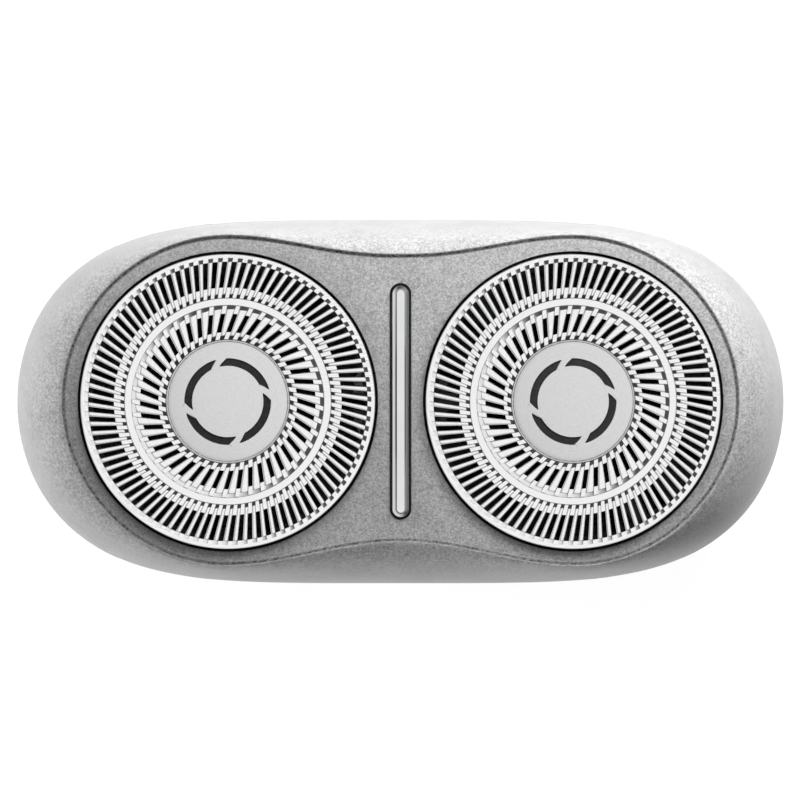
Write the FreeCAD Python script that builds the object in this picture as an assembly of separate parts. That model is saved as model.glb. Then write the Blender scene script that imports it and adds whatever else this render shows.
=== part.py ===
"""Shaving unit with two rotary heads: slotted guards and cutters in a hinged lid, over a sealed gear chamber.

Millimetres. It stands on its coupling neck with the guards up: +X along the two heads, +Z out of the face.
"""
import FreeCAD
import Part

import math
import os

Vec = FreeCAD.Vector
up = Vec(0, 0, 1)
origin = Vec(0, 0, 0)

# Rings of a head, from its centre outward
cap_radius = 4.87
cap_gap = 0.16
inner_track_width = 2.77
groove_width = 0.58
outer_track_width = 3.57
guard_gap = 0.22
face_land = 1.22

# Plan of the unit
head_spacing = 4.1
side_margin = 1.41
end_margin = 3.81
outline_power = 4.4
face_neck_inset = 1.62
face_neck_power = 1.1
section_arcs = 24
skin_levels = 6

# Heights, from the coupling neck upward
floor_bottom = 5.2
base_floor = 1.2
gear_rest = 0.6
gear_thickness = 2.4
gear_head_room = 0.6
cover_plate = 1.0
lid_height = 9.0
rim_rise = 0.3
guard_rise = 1.0
head_travel = 1.2

# Lid walls and openings
lid_wall = 1.2
face_plate = 1.6
rim_width = 0.3
opening_chamfer = 0.05
pocket_clearance = 0.1
pocket_wall = 0.6
pocket_depth = 2.0

# Centre bar
bar_width = 1.46
bar_end_margin = 2.32
bar_rise = 0.55
bar_bevel = 0.42
bar_gap = 0.14
bar_pocket_depth = 0.9
bar_pin_radius = 0.45
bar_pin_inset = 2.45

# Guard
outer_track_outer_wall = 0.64
outer_track_inner_wall = 0.87
inner_track_outer_wall = 0.7
inner_track_inner_wall = 0.61
guard_roof = 0.3
guard_bevel = 0.34
guard_ledge = 0.31
groove_depth = 1.1
guard_sheet = 0.35
flange_width = 0.55
flange_thickness = 0.4
ear_width = 2.4
ear_reach = 0.45
ear_root = 0.6
ear_gap = 0.15

# Guard slots
outer_slots = 90
inner_slots = 45
slot_tangent_radius = 1.87
outer_slot_inner_width = 0.28
outer_slot_outer_width = 0.4
inner_slot_width = 0.32
outer_slot_phase = 0.21
inner_slot_phase = -1.32
slot_overrun = 0.08

# Cap
cap_thickness = 0.8
cap_edge = 0.15
cap_arcs = 4
cap_arc_margin = 1.38
cap_arc_width = 0.57
cap_arc_depth = 0.12
cap_arc_gap = 0.5
cap_arc_phase = 14.7
cap_gap_slant = 50.0
stem_radius = 0.9
stem_length = 2.3
stem_fit = 0.02

# Cutter
blade_count = 15
blade_thickness = 0.3
blade_lean = 25.0
blade_side_clearance = 0.24
blade_top_clearance = 0.05
cutter_plate = 0.3
cutter_plate_drop = 2.5
cutter_inner_radius = 2.9
arm_width = 1.2
arm_root = 0.3
running_clearance = 0.05

# Cutter hub
hub_flange_radius = 4.6
hub_flange = 0.6
hub_boss_radius = 2.3
hub_top_rise = 0.4
hub_bore_depth = 1.8
hub_boss_length = 2.5
hub_fit = 0.02

# Drive tip in the hub's socket
tip_length = 1.5
socket_depth = 1.3
tip_end_radius = 0.65
tip_slope = 0.43
socket_clearance = 0.1
socket_slope = 0.6

# Retaining frame
frame_plate = 1.2
frame_drop = 0.4
frame_ledge = 1.5
frame_ring_gap = 0.15
frame_spokes = 3
spoke_width = 1.4
spoke_root = 0.4
hub_ring_clearance = 0.4
hub_ring_wall = 1.3
frame_pad_half_width = 3.5
frame_pad_root = 0.3

# Lock wheel and the hooks that its head turns behind
lock_radius = 4.2
lock_thickness = 1.5
lock_scallops = 12
lock_scallop_radius = 0.55
lock_scallop_offset = 0.2
lock_grip_width = 1.6
lock_grip_depth = 1.0
lock_grip_inset = 0.6
lock_shaft_radius = 0.9
lock_head_half_length = 1.95
lock_head_width = 1.2
lock_head_thickness = 0.6
lock_turning_gap = 0.15
hook_lip_rise = 0.2
hook_lip = 0.4
hook_overlap = 0.7
hook_thickness = 0.7
hook_half_width = 1.1

# Base
base_inset = 2.4
base_wall = 1.2
base_curl = 3.0
base_curl_overrun = 0.4
base_cavity_draw = 0.6
base_rim_rise = 1.0
base_flange = 0.8
base_flange_inset = 0.3
axle_boss_wall = 1.2
neck_radius = 8.5
neck_wall = 1.9
neck_bore_depth = 4.2
neck_shoulder = 1.0
o_ring_section = 0.6
o_ring_sides = 12
o_ring_height = 2.2
o_ring_proud = 0.25
thumb_notch_width = 10.0
thumb_notch_depth = 1.1

# Hinge
hinge_inset = 1.15
hinge_drop = 0.6
knuckle_radius = 1.1
hinge_pin_radius = 0.5
hinge_pin_end_gap = 0.1
base_knuckle_half_length = 4.3
base_knuckle_web_step = 0.3
lid_knuckle_length = 2.9
lid_knuckle_web_step = 0.15
lid_knuckle_web_depth = 0.8
lid_knuckle_web_height = 1.2
knuckle_gap = 0.15
knuckle_clearance = 0.2

# Catch at the front
catch_width = 5.0
catch_height = 0.5
catch_clearance = 0.12

# Gear train
drive_teeth = 16
driven_teeth = 24
gear_backlash = 0.1
pressure_angle = math.radians(20.0)
axle_radius = 1.0
axle_seat = 0.8
axle_end_gap = 0.1
web_recess = 0.6
web_rim = 1.4
web_hub = 0.8

# Drive shaft, bush and clip
drive_hub_radius = 2.4
drive_hub_end = 4.4
drive_socket_radius = 1.5
drive_socket_depth = 3.6
spigot_radius = 1.2
spigot_length = 1.2
spigot_end_gap = 0.1
bush_wall = 0.8
bush_flange_radius = 3.9
clip_thickness = 0.3
clip_groove_depth = 0.3
clip_radius = 3.3
clip_opening = 2.6

# Telescoping spindle and its spring
sleeve_radius = 2.5
sleeve_bore = 2.0
sleeve_end_gap = 0.2
sleeve_seat_height = 0.9
spindle_radius = 3.3
spindle_roof = 0.8
spindle_roof_slope = 0.3
spindle_shoulder = 0.6
spindle_skirt_gap = 0.08
spindle_skirt_end_gap = 0.1
stem_shoulder_radius = 1.5
spring_wire = 0.32
spring_turns = 4
spring_side_clearance = 0.15

# Gear cover, seals and screws
cover_gap = 0.15
collar_gap = 0.15
collar_wall = 0.95
seal_height = 0.5
seal_edge = 0.2
seal_lip = 0.3
seal_gap = 0.05
seal_head_room = 0.3
screw_radius = 0.7
screw_head_radius = 1.4
screw_head_height = 0.7
screw_length = 3.0
screw_pilot_room = 0.2
screw_slot = 0.3
boss_radius = 1.5
side_screw_margin = 2.1
front_screw_margin = 1.6

# Radii and places in the plan that follow from the sizes above
inner_track_inner_radius = cap_radius + cap_gap
inner_track_outer_radius = inner_track_inner_radius + inner_track_width
outer_track_inner_radius = inner_track_outer_radius + groove_width
guard_radius = outer_track_inner_radius + outer_track_width
outer_channel_outer = guard_radius - outer_track_outer_wall
outer_channel_inner = outer_track_inner_radius + outer_track_inner_wall
inner_channel_outer = inner_track_outer_radius - inner_track_outer_wall
inner_channel_inner = inner_track_inner_radius + inner_track_inner_wall
cap_arc_outer_radius = cap_radius - cap_arc_margin
cap_arc_inner_radius = cap_arc_outer_radius - cap_arc_width
flange_radius = guard_radius + flange_width
pocket_radius = flange_radius + pocket_clearance
frame_ring_inner_radius = flange_radius - frame_ledge
opening_radius = guard_radius + guard_gap
face_radius = opening_radius + face_land
face_neck_half_width = face_radius - face_neck_inset
head_x = guard_radius + head_spacing / 2
outline_half_length = head_x + face_radius + end_margin
outline_half_width = face_radius + side_margin
bar_length = 2 * (face_neck_half_width - bar_end_margin)
bar_pin_half_spacing = bar_length / 2 - bar_pin_inset
gear_module = 2 * head_x / (drive_teeth + driven_teeth)
base_half_width = outline_half_width - base_inset
cavity_inset = base_inset + base_wall + base_cavity_draw
side_screw_x = outline_half_length - cavity_inset - side_screw_margin
front_screw_y = outline_half_width - cavity_inset - front_screw_margin
hinge_y = outline_half_width - hinge_inset
collar_radius = spindle_radius + collar_gap

# Heights that follow from the sizes above
floor_top = floor_bottom + base_floor
gear_bottom = floor_top + gear_rest
gear_top = gear_bottom + gear_thickness
cover_height = gear_top + gear_head_room
cover_top = cover_height + cover_plate
parting_height = cover_top
brim_bottom = parting_height - base_flange
base_curl_height = brim_bottom - floor_bottom + base_curl_overrun
rim_top = parting_height + base_rim_rise
hinge_z = parting_height - hinge_drop
face_height = parting_height + lid_height
rim_height = face_height + rim_rise
guard_top = face_height + guard_rise
roof_underside = guard_top - guard_roof
groove_floor = guard_top - groove_depth
disc_underside = groove_floor - guard_sheet
plate_underside = face_height - face_plate
flange_top = plate_underside
flange_bottom = flange_top - flange_thickness
pocket_bottom = plate_underside - pocket_depth
hook_lip_bottom = pocket_bottom + hook_lip_rise
frame_top = pocket_bottom
frame_bottom = frame_top - frame_plate
plate_bottom = guard_top - cutter_plate_drop
plate_top = plate_bottom + cutter_plate
blade_top = roof_underside - blade_top_clearance
hub_flange_bottom = plate_bottom - hub_flange
hub_bottom = hub_flange_bottom - hub_boss_length
tip_top = hub_bottom + socket_depth
shoulder_height = tip_top - tip_length
spindle_roof_top = shoulder_height - spindle_shoulder
spindle_roof_underside = spindle_roof_top - spindle_roof
spindle_skirt_bottom = gear_top + head_travel + spindle_skirt_end_gap
sleeve_top = spindle_roof_underside - head_travel - sleeve_end_gap
spring_seat = gear_top + sleeve_seat_height
collar_top = spindle_roof_top - head_travel - seal_head_room - seal_height
clip_bottom = floor_bottom - running_clearance - clip_thickness


def cylinder(radius, bottom, top, x=0.0, y=0.0):
    return Part.makeCylinder(radius, top - bottom, Vec(x, y, bottom))


def tube(inner, outer, bottom, top, x=0.0, y=0.0):
    return cylinder(outer, bottom, top, x, y).cut(cylinder(inner, bottom, top, x, y))


def block(x0, x1, y0, y1, z0, z1):
    return Part.makeBox(x1 - x0, y1 - y0, z1 - z0, Vec(x0, y0, z0))


def rod_along_x(radius, x0, x1, y, z):
    return Part.makeCylinder(radius, x1 - x0, Vec(x0, y, z), Vec(1, 0, 0))


def turned(points):
    """Solid of revolution about Z from (radius, height) corners."""
    corners = [Vec(radius, 0, height) for radius, height in points]
    return Part.Face(Part.makePolygon(corners + corners[:1])).revolve(origin, up, 360)


def hexagon(corner_radius, height):
    corners = [Vec(corner_radius * math.cos(math.radians(60 * k)),
                   corner_radius * math.sin(math.radians(60 * k)), height) for k in range(7)]
    return Part.makePolygon(corners)


def at_angle(shape, degrees):
    return shape.rotated(origin, up, degrees)


def around(shape, count, phase=0.0):
    """Copies of one shape, evenly spaced round Z."""
    return [at_angle(shape, phase + 360.0 * k / count) for k in range(count)]


def at_head(shape, side):
    return shape.translated(Vec(side * head_x, 0, 0))


def outline_edge(x, inset):
    """Half-width at x of the whole unit's outline, moved in by inset."""
    share = min(abs(x) / (outline_half_length - inset), 1.0)
    return (outline_half_width - inset) * math.sqrt(1.0 - share ** outline_power)


def face_edge(x, inset):
    """Half-width at x of the dog-bone face, moved in by inset: a circle round each head, drawn in between."""
    radius = face_radius - inset
    along = abs(x)
    if along > head_x:
        return math.sqrt(max(radius ** 2 - (along - head_x) ** 2, 0.0))
    rise = math.sin(math.pi / 2 * (along / head_x) ** face_neck_power) ** 2
    return face_neck_half_width - inset + (face_radius - face_neck_half_width) * rise


def reach(angle, edge, inset):
    """Distance from the centre to an edge in one direction, found by halving."""
    low = 0.0
    high = 2 * outline_half_length
    for _ in range(40):
        middle = (low + high) / 2
        if abs(middle * math.sin(angle)) < edge(middle * math.cos(angle), inset):
            low = middle
        else:
            high = middle
    return low


def section(height, radius_at):
    """Closed wire of equal-angle arcs at one height, from a radius for each direction."""
    points = []
    for k in range(2 * section_arcs + 1):
        angle = math.pi * k / section_arcs
        radius = radius_at(angle)
        points.append(Vec(radius * math.cos(angle), radius * math.sin(angle), height))
    return Part.Wire([Part.Arc(*points[k:k + 3]).toShape() for k in range(0, 2 * section_arcs, 2)])


def lid_section(height, inset):
    """The lid's section: the outline at the parting line, drawn in on an elliptical arc to the rim."""
    share = min((height - parting_height) / (rim_height - parting_height), 1.0)
    blend = 1.0 - math.sqrt(max(1.0 - share ** 2, 0.0))

    def radius_at(angle):
        outer = reach(angle, outline_edge, inset)
        inner = reach(angle, face_edge, inset - rim_width)
        return (1 - blend) * outer + blend * inner

    return section(height, radius_at)


def face_section(height, inset):
    return section(height, lambda angle: reach(angle, face_edge, inset))


def base_section(height, inset):
    """The base's section: an outline of its own that curls in towards the floor."""
    share = max(brim_bottom - height, 0.0) / base_curl_height
    curl = base_curl * (1.0 - math.sqrt(1.0 - share ** 2))
    return section(height, lambda angle: reach(angle, outline_edge, base_inset + curl + inset))


def cavity_section(height, gap):
    """The base's inner outline, or what fits in it with a gap all round."""
    return section(height, lambda angle: reach(angle, outline_edge, cavity_inset + gap))


def loft(wires):
    return Part.makeLoft(wires, True, True)


def straight_prism(wire, depth):
    return Part.Face(wire).extrude(Vec(0, 0, depth))


def lid_shell():
    """Outer skin and cavity of the lid."""
    turns = [math.pi / 2 * k / skin_levels for k in range(skin_levels + 1)]
    skin_height = rim_height - parting_height
    outside = loft([lid_section(parting_height + skin_height * math.sin(turn), 0.0) for turn in turns])
    cavity_heights = [parting_height + (plate_underside - parting_height) * k / 3 for k in range(4)]
    cavity = loft([lid_section(height, lid_wall) for height in cavity_heights])
    dish = loft([face_section(face_height, 0.0), face_section(rim_height + rim_rise, -rim_width)])
    return outside, outside.cut([cavity, dish])


def lid_pockets(outside):
    """Tubes under the face that guide the guards' flanges, kept inside the lid's skin."""
    tubes = [tube(pocket_radius, pocket_radius + pocket_wall, pocket_bottom, plate_underside, side * head_x)
             for side in (-1, 1)]
    turning_room = cylinder(lock_head_half_length + lock_turning_gap, pocket_bottom, plate_underside)
    return tubes[0].fuse(tubes[1]).cut(turning_room).common(outside)


def lock_hooks():
    """Two hooks under the face that the lock wheel's head turns behind."""
    hooks = []
    wall = lock_head_half_length + lock_turning_gap
    for side in (-1, 1):
        edges = sorted((side * wall, side * (wall + hook_thickness)))
        hooks.append(block(-hook_half_width, hook_half_width, edges[0], edges[1],
                           hook_lip_bottom, plate_underside))
        edges = sorted((side * (lock_head_half_length - hook_overlap), side * wall))
        hooks.append(block(-hook_half_width, hook_half_width, edges[0], edges[1],
                           hook_lip_bottom, hook_lip_bottom + hook_lip))
    return hooks


def bar_slot(width, length, bottom, top):
    """Straight bar with round ends, lying along Y on the centre line."""
    half = (length - width) / 2
    middle = block(-width / 2, width / 2, -half, half, bottom, top)
    ends = [cylinder(width / 2, bottom, top, 0.0, side * half) for side in (-1, 1)]
    return middle.fuse(ends)


def ear(reach_out, width, bottom, top, side):
    """Radial key on the outer side of a head, kept square."""
    edges = sorted((side * (flange_radius - ear_root), side * (flange_radius + reach_out)))
    return block(edges[0], edges[1], -width / 2, width / 2, bottom, top)


def lid_knuckles():
    """Two knuckles that hang from the lid's rear wall."""
    start = base_knuckle_half_length + knuckle_gap
    knuckles = []
    for side in (-1, 1):
        x0, x1 = sorted((side * start, side * (start + lid_knuckle_length)))
        barrel = rod_along_x(knuckle_radius, x0, x1, hinge_y, hinge_z)
        web = block(x0, x1, hinge_y - lid_knuckle_web_depth, hinge_y + knuckle_radius - lid_knuckle_web_step,
                    hinge_z, parting_height + lid_knuckle_web_height)
        knuckles.append(barrel.fuse(web))
    return knuckles


def lid_housing():
    outside, lid = lid_shell()
    lid = lid.fuse([lid_pockets(outside)] + lock_hooks() + lid_knuckles())
    cuts = []
    for side in (-1, 1):
        x = side * head_x
        cuts.append(cylinder(opening_radius, plate_underside - 1, rim_height + 1, x))
        cuts.append(Part.makeCone(opening_radius, opening_radius + 2 * opening_chamfer, 2 * opening_chamfer,
                                  Vec(x, 0, face_height - opening_chamfer)))
        keyway = ear(ear_reach + ear_gap, ear_width + 2 * ear_gap, pocket_bottom, plate_underside, side)
        cuts.append(at_head(keyway, side))
        cuts.append(cylinder(bar_pin_radius, plate_underside - 1, face_height,
                             0.0, side * bar_pin_half_spacing))
    pocket_floor = face_height - bar_pocket_depth
    cuts.append(bar_slot(bar_width + 2 * bar_gap, bar_length + 2 * bar_gap, pocket_floor, rim_height))
    cuts.append(rod_along_x(hinge_pin_radius + running_clearance, -outline_half_width, outline_half_width,
                            hinge_y, hinge_z))
    cuts.append(rod_along_x(knuckle_radius + knuckle_clearance, -base_knuckle_half_length - knuckle_gap,
                            base_knuckle_half_length + knuckle_gap, hinge_y, hinge_z))
    lid = lid.cut(cuts)
    bead_y = -(outline_half_width - lid_wall)
    bead = rod_along_x(catch_height / 2, -catch_width / 2, catch_width / 2, bead_y,
                       parting_height + catch_height / 2)
    return lid.fuse(bead).removeSplitter()


def centre_bar():
    """Trim bar with bevelled long edges, on two pins."""
    bottom = face_height - bar_pocket_depth
    top = face_height + bar_rise
    bar = bar_slot(bar_width, bar_length, bottom, top - bar_bevel)
    half = (bar_length - bar_width) / 2
    crown_radius = bar_width / 2 - bar_bevel
    crown_ends = [racetrack(bar_width / 2, half, top - bar_bevel), racetrack(crown_radius, half, top)]
    crown = Part.makeLoft(crown_ends, True, True)
    pins = [cylinder(bar_pin_radius, plate_underside, bottom, 0.0, side * bar_pin_half_spacing)
            for side in (-1, 1)]
    return bar.fuse([crown] + pins).removeSplitter()


def racetrack(radius, half, height):
    """Closed wire of two straight sides along Y and two half circles."""
    right = [Vec(radius, -half, height), Vec(radius, half, height)]
    left = [Vec(-radius, half, height), Vec(-radius, -half, height)]
    edges = [Part.makeLine(*right),
             Part.Arc(right[1], Vec(0, half + radius, height), left[0]).toShape(),
             Part.makeLine(*left),
             Part.Arc(left[1], Vec(0, -half - radius, height), right[0]).toShape()]
    return Part.Wire(edges)


def guard_blank():
    """The guard before its slots are cut: two raised tracks, a groove between them and a flange."""
    bevel = guard_bevel
    return turned([
        (stem_radius + stem_fit, groove_floor),
        (inner_track_inner_radius, groove_floor),
        (inner_track_inner_radius, roof_underside),
        (inner_track_inner_radius + bevel, guard_top),
        (inner_track_outer_radius - bevel, guard_top),
        (inner_track_outer_radius, roof_underside),
        (inner_track_outer_radius, groove_floor),
        (outer_track_inner_radius, groove_floor),
        (outer_track_inner_radius, roof_underside),
        (outer_track_inner_radius + bevel, guard_top),
        (guard_radius - guard_ledge - bevel, guard_top),
        (guard_radius - guard_ledge, roof_underside),
        (guard_radius, roof_underside),
        (guard_radius, flange_top),
        (flange_radius, flange_top),
        (flange_radius, flange_bottom),
        (outer_channel_outer, flange_bottom),
        (outer_channel_outer, roof_underside),
        (outer_channel_inner, roof_underside),
        (outer_channel_inner, disc_underside),
        (inner_channel_outer, disc_underside),
        (inner_channel_outer, roof_underside),
        (inner_channel_inner, roof_underside),
        (inner_channel_inner, disc_underside),
        (stem_radius + stem_fit, disc_underside),
    ])


def slot_cutter(inner_radius, outer_radius, inner_width, outer_width):
    """Tapered slot cutter through one track, along a line that passes beside the head's centre.

    Its middle lies on the X axis, and going outward it leans clockwise.
    """
    middle = (inner_radius + outer_radius) / 2
    foot_angle = math.acos(slot_tangent_radius / middle)
    foot = Vec(math.cos(foot_angle), math.sin(foot_angle), 0)
    along = Vec(foot.y, -foot.x, 0)
    corners = []
    for radius, width in ((inner_radius, inner_width), (outer_radius, outer_width)):
        centre = foot * slot_tangent_radius + along * math.sqrt(radius ** 2 - slot_tangent_radius ** 2)
        corners.append((centre - foot * (width / 2), centre + foot * (width / 2)))
    (a, b), (c, d) = corners
    lift = Vec(0, 0, roof_underside)
    outline = Part.makePolygon([a + lift, b + lift, d + lift, c + lift, a + lift])
    return Part.Face(outline).extrude(Vec(0, 0, 2 * guard_roof))


def guard(side):
    outer = slot_cutter(outer_track_inner_radius - slot_overrun, guard_radius + slot_overrun,
                        outer_slot_inner_width, outer_slot_outer_width)
    inner = slot_cutter(inner_track_inner_radius - slot_overrun, inner_track_outer_radius + slot_overrun,
                        inner_slot_width, inner_slot_width)
    slots = around(outer, outer_slots, outer_slot_phase) + around(inner, inner_slots, inner_slot_phase)
    key = ear(ear_reach, ear_width, flange_bottom, flange_top, side)
    return at_head(guard_blank().cut(slots).fuse(key), side)


def cap(side):
    """Centre disc with a ring of four sunk arcs, on the stem that the cutter turns about."""
    bottom = groove_floor
    top = bottom + cap_thickness
    body = turned([(0, top), (cap_radius - cap_edge, top), (cap_radius, top - cap_edge), (cap_radius, bottom),
                   (stem_radius, bottom), (stem_radius, bottom - stem_length), (0, bottom - stem_length)])
    arcs = tube(cap_arc_inner_radius, cap_arc_outer_radius, top - cap_arc_depth, top + 1)
    middle = (cap_arc_inner_radius + cap_arc_outer_radius) / 2
    bar = block(-1, 1, -cap_arc_gap / 2, cap_arc_gap / 2, top - cap_arc_depth, top + 1)
    bar = at_angle(bar, -cap_gap_slant).translated(Vec(middle, 0, 0))
    arcs = arcs.cut(around(bar, cap_arcs, cap_arc_phase))
    return at_head(body.cut(arcs), side)


def leaning_blade(inner_radius, outer_radius):
    """One blade that stands on the plate along X and leans forward round the ring."""
    height = blade_top - plate_top
    shift = height * math.tan(math.radians(blade_lean)) / 2
    half = blade_thickness / 2
    corners = [Vec(inner_radius, -shift - half, plate_top), Vec(inner_radius, -shift + half, plate_top),
               Vec(inner_radius, shift + half, blade_top), Vec(inner_radius, shift - half, blade_top)]
    side = Part.Face(Part.makePolygon(corners + corners[:1]))
    return side.extrude(Vec(outer_radius - inner_radius, 0, 0))


def cutter(side):
    """Stamped steel cutter: a plate with an arm for each pair of lifted blades."""
    outer_reach = outer_channel_outer - blade_side_clearance
    hub_plate = tube(cutter_inner_radius, inner_channel_outer, plate_bottom, plate_top)
    arm = block(inner_channel_outer - arm_root, outer_reach, -arm_width / 2, arm_width / 2,
                plate_bottom, plate_top)
    outer_blade = leaning_blade(outer_channel_inner + blade_side_clearance, outer_reach)
    inner_blade = leaning_blade(inner_channel_inner + blade_side_clearance,
                                inner_channel_outer - blade_side_clearance)
    pieces = around(arm, blade_count) + around(outer_blade, blade_count) + around(inner_blade, blade_count)
    return at_head(hub_plate.fuse(pieces).removeSplitter(), side)


def hex_taper(end_radius, slope, bottom, top):
    """Six-sided taper, narrow end up."""
    wires = [hexagon(end_radius + slope * (top - bottom), bottom), hexagon(end_radius, top)]
    return Part.makeLoft(wires, True, True)


def cutter_hub(side):
    """Moulded hub: the plate's seat, the bore for the cap's stem and the drive socket."""
    top = plate_top + hub_top_rise
    spigot = cutter_inner_radius - hub_fit
    body = turned([(0, top), (spigot, top), (spigot, plate_bottom), (hub_flange_radius, plate_bottom),
                   (hub_flange_radius, hub_flange_bottom), (hub_boss_radius, hub_flange_bottom),
                   (hub_boss_radius, hub_bottom), (0, hub_bottom)])
    bore = cylinder(stem_radius + running_clearance, top - hub_bore_depth, top + 1)
    socket = hex_taper(tip_end_radius + socket_clearance, socket_slope, hub_bottom, tip_top)
    return at_head(body.cut([bore, socket]), side)


def spoked_ring():
    """One half of the retaining frame: the ring under a guard's flange and the ring round a hub."""
    outer_radius = pocket_radius + pocket_wall - frame_ring_gap
    outer = tube(frame_ring_inner_radius, outer_radius, frame_bottom, frame_top)
    inner_radius = hub_boss_radius + hub_ring_clearance
    inner = tube(inner_radius, inner_radius + hub_ring_wall, frame_bottom, frame_top)
    spoke = block(inner_radius + spoke_root, frame_ring_inner_radius + spoke_root,
                  -spoke_width / 2, spoke_width / 2, frame_bottom + frame_drop, frame_top)
    return outer.fuse([inner] + around(spoke, frame_spokes, 60.0))


def retaining_frame():
    ring = spoked_ring()
    rings = [at_head(ring, 1), at_head(at_angle(ring, 180), -1)]
    half_length = head_x - frame_ring_inner_radius + frame_pad_root
    pad = block(-half_length, half_length, -frame_pad_half_width, frame_pad_half_width,
                frame_bottom, frame_top)
    pad = pad.cut([cylinder(frame_ring_inner_radius, frame_bottom, frame_top, side * head_x)
                   for side in (-1, 1)])
    frame = rings[0].fuse([rings[1], pad])
    shaft_hole = cylinder(lock_shaft_radius + running_clearance, frame_bottom, frame_top)
    return frame.cut(shaft_hole).removeSplitter()


def lock_wheel():
    """Quarter-turn wheel: scalloped knob with a grip, and a shaft whose head turns behind the lid's hooks."""
    knob_top = frame_bottom - running_clearance
    knob_bottom = knob_top - lock_thickness
    head_bottom = hook_lip_bottom + hook_lip + running_clearance
    head_top = head_bottom + lock_head_thickness
    scallop = cylinder(lock_scallop_radius, knob_bottom, knob_top, lock_radius + lock_scallop_offset)
    scallops = around(scallop, lock_scallops, 180.0 / lock_scallops)
    knob = cylinder(lock_radius, knob_bottom, knob_top).cut(scallops)
    grip_half = lock_radius - lock_grip_inset
    grip = block(-lock_grip_width / 2, lock_grip_width / 2, -grip_half, grip_half,
                 knob_bottom - lock_grip_depth, knob_bottom)
    shaft = cylinder(lock_shaft_radius, knob_top, head_top)
    head = block(-lock_head_width / 2, lock_head_width / 2, -lock_head_half_length, lock_head_half_length,
                 head_bottom, head_top).common(cylinder(lock_head_half_length, head_bottom, head_top))
    return knob.fuse([grip, shaft, head]).removeSplitter()


def gear_blank(teeth, phase):
    """Involute spur gear, solid, with one tooth centred at the phase angle."""
    pitch_radius = gear_module * teeth / 2
    base_radius = pitch_radius * math.cos(pressure_angle)
    root_radius = pitch_radius - 1.25 * gear_module
    tip_radius = pitch_radius + gear_module
    half_tooth = math.pi / (2 * teeth) - gear_backlash / (4 * pitch_radius)

    def half_angle(radius):
        roll = math.acos(min(base_radius / radius, 1.0))
        return half_tooth + math.tan(pressure_angle) - pressure_angle - math.tan(roll) + roll

    flank_radii = [root_radius, max(base_radius, root_radius), pitch_radius + 0.1 * gear_module, tip_radius]
    corners = []
    for k in range(teeth):
        centre = math.radians(phase) + 2 * math.pi * k / teeth
        flank = [(radius, half_angle(radius)) for radius in flank_radii]
        turn = [(radius, centre - angle) for radius, angle in flank]
        turn += [(radius, centre + angle) for radius, angle in reversed(flank)]
        corners += [Vec(radius * math.cos(angle), radius * math.sin(angle), gear_bottom)
                    for radius, angle in turn]
    return Part.Face(Part.makePolygon(corners + corners[:1])).extrude(Vec(0, 0, gear_thickness))


def drive_gear():
    """Central gear on the shaft that the handle's drive enters from below."""
    hub = cylinder(drive_hub_radius, drive_hub_end, gear_bottom)
    spigot = cylinder(spigot_radius, gear_top, gear_top + spigot_length)
    groove = tube(drive_hub_radius - clip_groove_depth, clip_radius,
                  clip_bottom, clip_bottom + clip_thickness)
    socket = Part.Face(hexagon(drive_socket_radius, drive_hub_end)).extrude(Vec(0, 0, drive_socket_depth))
    return gear_blank(drive_teeth, 0.0).fuse([hub, spigot]).cut([groove, socket])


def drive_clip():
    """Snap ring in the groove of the drive shaft, open at one side."""
    top = clip_bottom + clip_thickness
    ring = tube(drive_hub_radius - clip_groove_depth, clip_radius, clip_bottom, top)
    gap = block(0, clip_radius, -clip_opening / 2, clip_opening / 2, clip_bottom, top)
    return ring.cut(gap)


def drive_bush():
    """Flanged bush in the base's floor."""
    inner = drive_hub_radius + running_clearance
    outer = inner + bush_wall
    return turned([(inner, floor_bottom), (outer, floor_bottom), (outer, floor_top),
                   (bush_flange_radius, floor_top), (bush_flange_radius, gear_bottom), (inner, gear_bottom)])


def driven_gear(side):
    """Driven gear with the sleeve that its spindle slides on."""
    sleeve = tube(sleeve_bore, sleeve_radius, spring_seat, sleeve_top)
    neck = cylinder(sleeve_radius, gear_top, spring_seat)
    bore = cylinder(axle_radius + running_clearance, gear_bottom, spring_seat)
    rim = gear_module * driven_teeth / 2 - web_rim
    recess = tube(sleeve_radius + web_hub, rim, gear_top - web_recess, gear_top)
    blank = gear_blank(driven_teeth, 180.0 / driven_teeth)
    return at_head(blank.fuse([neck, sleeve]).cut([bore, recess]).removeSplitter(), side)


def axle(side):
    return at_head(cylinder(axle_radius, floor_top - axle_seat, spring_seat - axle_end_gap), side)


def spindle(side):
    """Sliding drive spindle: a skirt over the gear's sleeve and a tapered six-sided tip."""
    inner = sleeve_radius + spindle_skirt_gap
    body = turned([(0, spindle_roof_underside), (inner, spindle_roof_underside),
                   (inner, spindle_skirt_bottom), (spindle_radius, spindle_skirt_bottom),
                   (spindle_radius, spindle_roof_top - spindle_roof_slope),
                   (stem_shoulder_radius, spindle_roof_top), (stem_shoulder_radius, shoulder_height),
                   (0, shoulder_height)])
    tip = hex_taper(tip_end_radius, tip_slope, shoulder_height, tip_top)
    return at_head(body.fuse(tip), side)


def spring(side):
    """Coil of square-section wire between the gear's seat and the spindle's roof."""
    half = spring_wire / 2
    radius = sleeve_bore - spring_side_clearance - half
    bottom = spring_seat + half
    height = spindle_roof_underside - half - bottom
    path = Part.makeHelix(height / spring_turns, height, radius)
    corners = [Vec(radius + dx, 0, dz) for dx, dz in ((-half, 0), (0, -half), (half, 0), (0, half))]
    profile = Part.makePolygon(corners + corners[:1])
    coil = Part.Wire(path.Edges).makePipeShell([profile], True, True)
    return at_head(coil.translated(Vec(0, 0, bottom)), side)


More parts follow.
